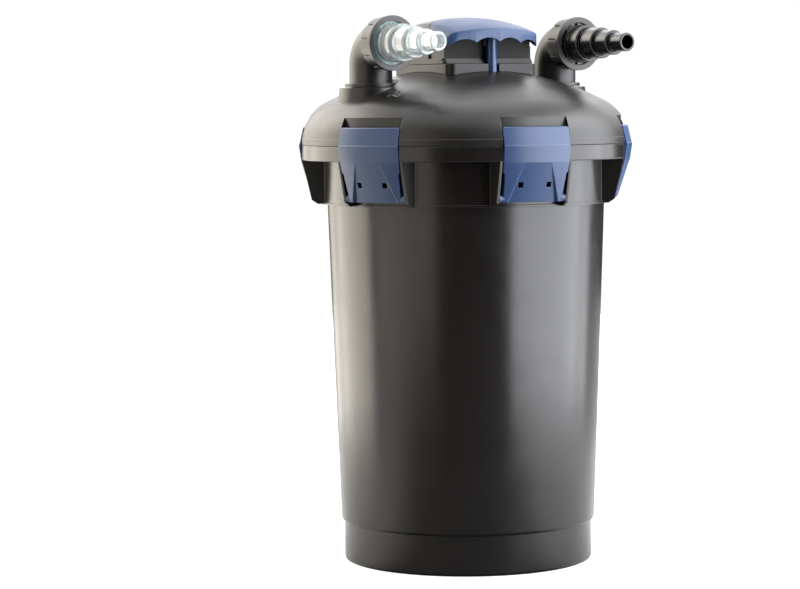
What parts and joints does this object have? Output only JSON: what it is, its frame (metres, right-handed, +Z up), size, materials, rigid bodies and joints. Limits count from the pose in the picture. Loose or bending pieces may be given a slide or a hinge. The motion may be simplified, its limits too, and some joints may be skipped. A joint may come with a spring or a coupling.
{
  "type": "pressurized pond filter",
  "caption": "Pressurized canister pond filter with clipped domed lid, swivelling stepped hose ports, UV clarifier head and a pull handle that squeezes the foam pack.",
  "frame": {"origin": "centre of the canister's footprint, on the ground", "axes": "+Z up along the canister's axis; the hose tails point to -Y; the inlet is at -X and the outlet at +X"},
  "size_m": [0.3742, 0.38, 0.6185],
  "materials": {
    "black_plastic": "satin",
    "satin_black": "satin",
    "gloss_black": "gloss",
    "blue_plastic": "satin",
    "blue_rod": "gloss",
    "clear_plastic": "polished",
    "teal_rubber": "matte",
    "rubber": "matte",
    "steel": "satin",
    "white_plastic": "satin",
    "coarse_foam": "open-cell foam",
    "fine_foam": "open-cell foam",
    "quartz": "polished",
    "lamp_glass": "polished"
  },
  "bodies": {
    "tank": {"tank": "black_plastic", "clip_ring": "black_plastic", "clip_pins": "steel"},
    "lid": {"lid": "black_plastic", "lid_seal": "rubber", "separator_plate": "white_plastic", "center_tube": "black_plastic", "inlet_duct": "black_plastic", "foam_1": "coarse_foam", "foam_2": "coarse_foam", "foam_3": "coarse_foam", "foam_4": "fine_foam", "foam_5": "fine_foam", "foam_6": "fine_foam", "uvc_base": "black_plastic", "uvc_cover": "black_plastic", "uvc_screws": "steel", "ballast": "white_plastic", "lamp_socket": "white_plastic", "uvc_lamp": "lamp_glass", "quartz_sleeve": "quartz", "sleeve_seal": "rubber", "sleeve_nut": "black_plastic", "cable_gland": "black_plastic", "gland_nut": "black_plastic", "rod_bush": "white_plastic", "rod_seal": "rubber"},
    "handle": {"handle_grip": "blue_plastic", "pull_rod": "blue_rod", "grip_pin": "steel", "press_plate": "white_plastic", "rod_nut": "steel"},
    "inlet_elbow": {"inlet_elbow": "satin_black", "inlet_elbow_seal": "rubber", "inlet_tail": "clear_plastic", "inlet_tail_gasket": "teal_rubber"},
    "outlet_elbow": {"outlet_elbow": "satin_black", "outlet_elbow_seal": "rubber", "outlet_tail": "gloss_black", "outlet_tail_gasket": "teal_rubber"},
    "inlet_nut": {"inlet_nut": "satin_black"},
    "outlet_nut": {"outlet_nut": "satin_black"},
    "clip_1": {"clip_1": "blue_plastic"},
    "clip_2": {"clip_2": "blue_plastic"},
    "clip_3": {"clip_3": "blue_plastic"},
    "clip_4": {"clip_4": "blue_plastic"},
    "clip_5": {"clip_5": "blue_plastic"},
    "clip_6": {"clip_6": "blue_plastic"}
  },
  "joints": [
    {"name": "lid_lift", "type": "slide", "parent": "tank", "child": "lid", "axis": [0, 0, 1], "range_m": [0, 0.46]},
    {"name": "handle_pull", "type": "slide", "parent": "lid", "child": "handle", "axis": [0, 0, 1], "range_m": [0, 0.15], "deforming": ["foam_1", "foam_2", "foam_3", "foam_4", "foam_5", "foam_6"]},
    {"name": "inlet_swivel", "type": "hinge", "parent": "lid", "child": "inlet_elbow", "pos_m": [-0.125, 0, 0.55], "axis": [0, 0, 1], "range_deg": [-200, 20]},
    {"name": "outlet_swivel", "type": "hinge", "parent": "lid", "child": "outlet_elbow", "pos_m": [0.125, 0, 0.55], "axis": [0, 0, 1], "range_deg": [-20, 200]},
    {"name": "inlet_nut_spin", "type": "hinge", "parent": "inlet_elbow", "child": "inlet_nut", "pos_m": [-0.125, -0.037, 0.588], "axis": [0, -1, 0], "continuous": true},
    {"name": "outlet_nut_spin", "type": "hinge", "parent": "outlet_elbow", "child": "outlet_nut", "pos_m": [0.125, -0.037, 0.588], "axis": [0, -1, 0], "continuous": true},
    {"name": "clip_1_hinge", "type": "hinge", "parent": "tank", "child": "clip_1", "pos_m": [-0.02345, -0.16686, 0.418], "axis": [0.9903, -0.1392, 0], "range_deg": [0, 95]},
    {"name": "clip_2_hinge", "type": "hinge", "parent": "tank", "child": "clip_2", "pos_m": [0.13278, -0.10374, 0.418], "axis": [0.6157, 0.788, 0], "range_deg": [0, 95]},
    {"name": "clip_3_hinge", "type": "hinge", "parent": "tank", "child": "clip_3", "pos_m": [0.15623, 0.06312, 0.418], "axis": [-0.3746, 0.9272, 0], "range_deg": [0, 95]},
    {"name": "clip_4_hinge", "type": "hinge", "parent": "tank", "child": "clip_4", "pos_m": [0.02345, 0.16686, 0.418], "axis": [-0.9903, 0.1392, 0], "range_deg": [0, 95]},
    {"name": "clip_5_hinge", "type": "hinge", "parent": "tank", "child": "clip_5", "pos_m": [-0.13278, 0.10374, 0.418], "axis": [-0.6157, -0.788, 0], "range_deg": [0, 95]},
    {"name": "clip_6_hinge", "type": "hinge", "parent": "tank", "child": "clip_6", "pos_m": [-0.15623, -0.06312, 0.418], "axis": [0.3746, -0.9272, 0], "range_deg": [0, 95]}
  ]
}
